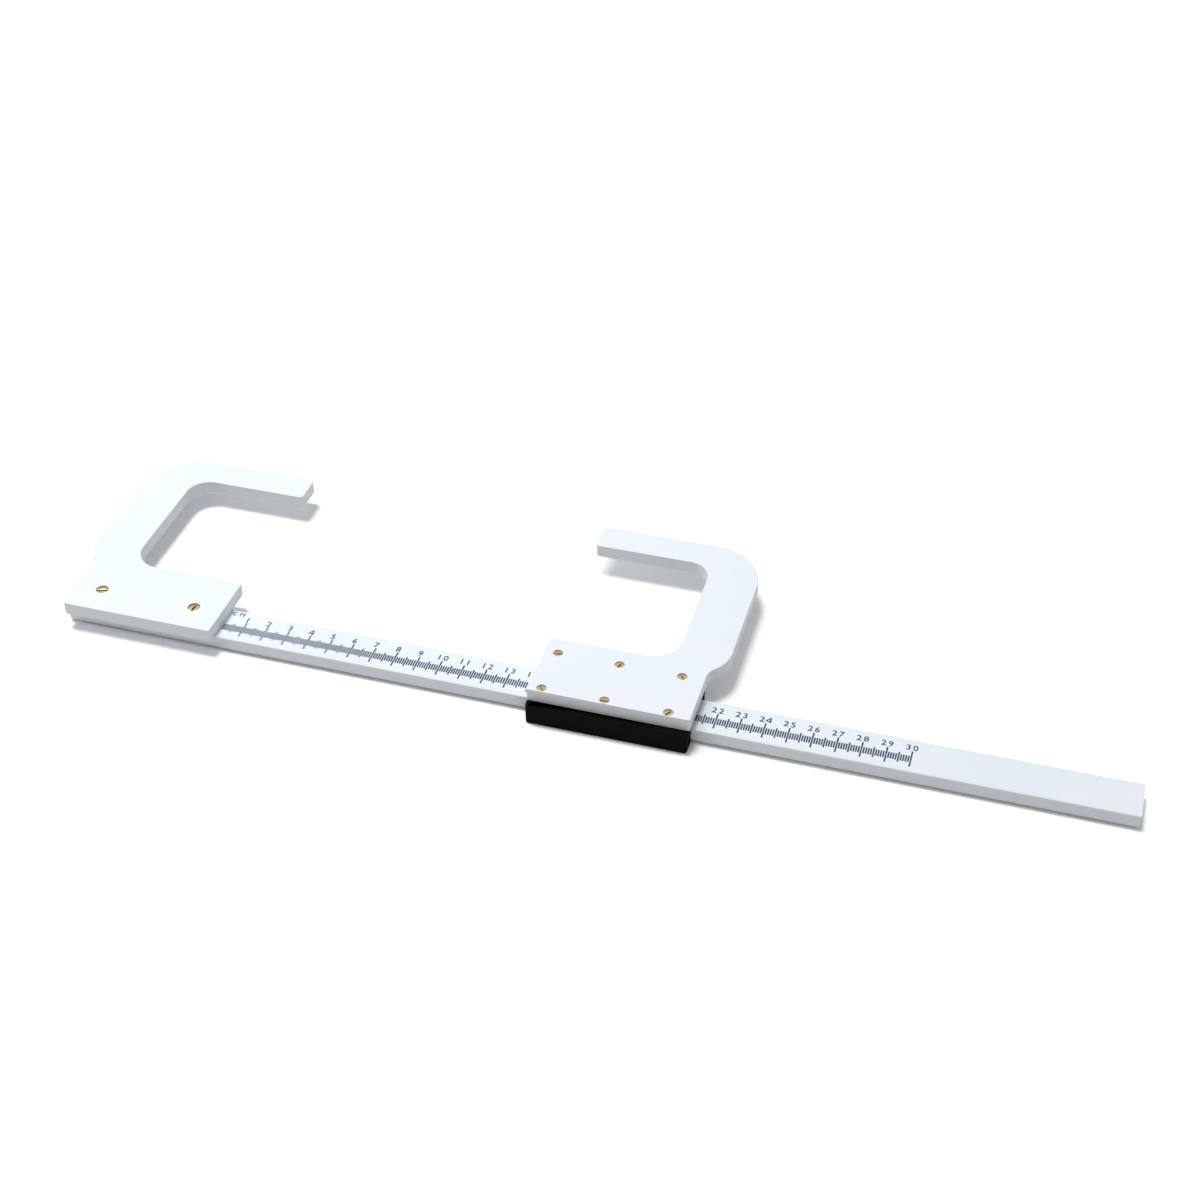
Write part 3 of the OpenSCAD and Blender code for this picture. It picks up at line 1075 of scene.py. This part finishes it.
class StageOperator(bpy.types.Operator):
    """Makes the camera, the lamps, the sky and the floor"""

    bl_idname = "anthropometer.stage"
    bl_label = "Stage"

    def execute(self, context):
        stage = context.scene.anthropometer_stage
        self.add_camera(context.scene, stage)
        self.add_lights(context.scene, stage)
        self.add_floor(stage)
        context.scene.view_settings.view_transform = "Standard"
        return {"FINISHED"}

    @staticmethod
    def add_camera(scene, stage):
        azimuth, elevation, roll = stage.azimuth, stage.elevation, stage.roll
        back = Vector(
            (
                math.sin(azimuth) * math.cos(elevation),
                -math.cos(azimuth) * math.cos(elevation),
                math.sin(elevation),
            )
        )
        level = Vector((math.cos(azimuth), math.sin(azimuth), 0))
        above = back.cross(level)
        right = math.cos(roll) * level + math.sin(roll) * above
        up = math.cos(roll) * above - math.sin(roll) * level
        camera = bpy.data.objects.new("camera", bpy.data.cameras.new("camera"))
        camera.data.lens = stage.lens
        camera.data.clip_start = CLIP_START
        turn = Matrix((right, up, back)).transposed().to_4x4()
        target = Vector((stage.target_x, stage.target_y, 0))
        camera.matrix_world = Matrix.Translation(target + back * stage.distance) @ turn
        scene.collection.objects.link(camera)
        scene.camera = camera

    @staticmethod
    def add_lights(scene, stage):
        aim = Vector((stage.target_x, stage.target_y / 2, 0))
        key = bpy.data.lights.new("key_light", "SUN")
        key.energy = stage.key_strength
        key.angle = stage.key_angle
        side = bpy.data.lights.new("side_lamp", "AREA")
        side.energy = stage.side_power
        side.size = stage.side_size
        places = {
            key: aim + Vector((stage.key_along, stage.key_across, 1)),
            side: Vector((stage.side_along, stage.side_across, stage.side_up)),
        }
        for lamp, place in places.items():
            holder = bpy.data.objects.new(lamp.name, lamp)
            turn = (place - aim).to_track_quat("Z", "Y").to_matrix().to_4x4()
            holder.matrix_world = Matrix.Translation(place) @ turn
            scene.collection.objects.link(holder)

        world = bpy.data.worlds.new("sky")
        shader = Shader(world)
        lit, seen = (
            shader.wire(shader.node("ShaderNodeBackground", None, {"Color": WHITE, "Strength": g}))
            for g in (stage.sky, 1.0)
        )
        shader.node("ShaderNodeOutputWorld", None, {"Surface": shader.when_seen(lit, seen)})
        scene.world = world

    @staticmethod
    def add_floor(stage):
        shader = Shader(bpy.data.materials.new("floor_paint"))
        paint, lift = (
            shader.wire(shader.node("ShaderNodeBsdfDiffuse", None, {"Color": (g, g, g, 1.0)}))
            for g in (stage.floor_tone, stage.floor_lift)
        )
        lifted = shader.wire(shader.node("ShaderNodeAddShader", None, {0: paint, 1: lift}))
        surface = shader.when_seen(paint, lifted)
        shader.node("ShaderNodeOutputMaterial", None, {"Surface": surface})
        half = stage.floor_side / 2
        low = CAD_BOX[0][2] - stage.floor_gap
        corners = [(-half, -half, low), (half, -half, low), (half, half, low), (-half, half, low)]
        mesh = bpy.data.meshes.new("floor")
        mesh.from_pydata(corners, [], [(0, 1, 2, 3)])
        mesh.materials.append(shader.holder)
        link("floor", mesh)


class AnthropometerPanel(bpy.types.Panel):
    """Lists the operators and the settings"""

    bl_idname = "VIEW3D_PT_anthropometer"
    bl_label = "Anthropometer"
    bl_space_type = "VIEW_3D"
    bl_region_type = "UI"
    bl_category = "Anthropometer"

    def draw(self, context):
        for operator in OPERATORS:
            self.layout.operator(operator.bl_idname)
        for group, settings in SETTINGS.items():
            box = self.layout.box()
            for field in settings.__annotations__:
                box.prop(getattr(context.scene, group), field)


SETTINGS = {
    "anthropometer_edges": EdgeSettings,
    "anthropometer_scale": ScaleSettings,
    "anthropometer_screws": ScrewSettings,
    "anthropometer_finish": FinishSettings,
    "anthropometer_stage": StageSettings,
}
OPERATORS = [
    StageOperator,
    RailOperator,
    JawsOperator,
    GuideOperator,
    ScrewsOperator,
    ScaleOperator,
]


def register():
    for made in [*SETTINGS.values(), *OPERATORS, AnthropometerPanel]:
        bpy.utils.register_class(made)
    for group, settings in SETTINGS.items():
        setattr(bpy.types.Scene, group, PointerProperty(type=settings))


def unregister():
    for group in SETTINGS:
        delattr(bpy.types.Scene, group)
    for made in reversed([*SETTINGS.values(), *OPERATORS, AnthropometerPanel]):
        bpy.utils.unregister_class(made)


def main():
    register()
    for operator in OPERATORS:
        getattr(bpy.ops.anthropometer, operator.bl_idname.split(".")[1])()


if __name__ == "__main__":
    main()
